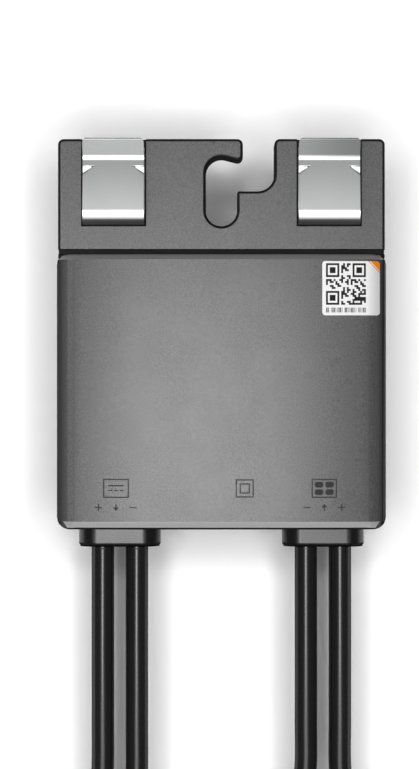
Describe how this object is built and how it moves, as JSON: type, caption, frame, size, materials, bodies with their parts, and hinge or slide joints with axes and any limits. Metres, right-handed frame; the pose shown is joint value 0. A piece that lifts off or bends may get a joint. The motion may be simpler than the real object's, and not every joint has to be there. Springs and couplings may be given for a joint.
{
  "type": "power optimizer",
  "caption": "Flat sealed power converter box for a solar module, with a slotted mounting flange, spring clips for the module frame and paired leads that end in connectors.",
  "frame": {"origin": "on the rear face, midway between the bottom edge of the box and the top edge of the flange", "axes": "+Z out of the front face, +Y from the glands to the flange, +X to the right seen from the front"},
  "size_m": [0.087, 0.3679, 0.0279],
  "materials": {
    "housing": "fine moulded grain",
    "cover": "fine moulded grain",
    "gland": "fine moulded grain",
    "seal": "matte",
    "screw": "plain",
    "label": "printed white film",
    "spring_steel": "bright rolled strip",
    "board": "solder mask",
    "ferrite": "matte",
    "copper": "enamelled or bare copper",
    "film_case": "moulded",
    "can": "sleeved",
    "chip": "moulded",
    "choke": "coated",
    "ceramic": "fired",
    "tin": "tinned",
    "compound": "cast",
    "sheath": "smooth sheath",
    "strap": "moulded",
    "connector": "moulded",
    "contact": "tinned"
  },
  "bodies": {
    "root": {"front_housing": "housing", "rear_cover": "cover", "cover_seal": "seal", "cover_screws": "screw", "label": "label", "clip_left": "spring_steel", "clip_right": "spring_steel", "gland_out_pair": "gland", "gland_pv_pair": "gland", "bush_out_pair": "seal", "bush_pv_pair": "seal", "circuit_board": "board", "inductor_core": "ferrite", "inductor_winding": "copper", "film_capacitors": "film_case", "can_capacitors": "can", "switches_power": "chip", "bypass_diode": "chip", "controller_chip": "chip", "line_choke": "choke", "current_shunt": "tin", "chip_capacitors": "ceramic", "lead_terminals": "tin", "lead_cores": "copper", "potting": "compound", "lead_out_plus": "sheath", "lead_out_minus": "sheath", "lead_pv_minus": "sheath", "lead_pv_plus": "sheath", "coil_out_plus": "sheath", "coil_out_minus": "sheath", "coil_ties": "strap", "out_plus_shell": "connector", "out_plus_nut": "connector", "out_plus_contact": "contact", "out_plus_seal": "seal", "out_minus_shell": "connector", "out_minus_nut": "connector", "out_minus_contact": "contact", "out_minus_seal": "seal", "pv_minus_shell": "connector", "pv_minus_nut": "connector", "pv_minus_contact": "contact", "pv_minus_seal": "seal", "pv_plus_shell": "connector", "pv_plus_nut": "connector", "pv_plus_contact": "contact", "pv_plus_seal": "seal"}
  },
  "joints": []
}
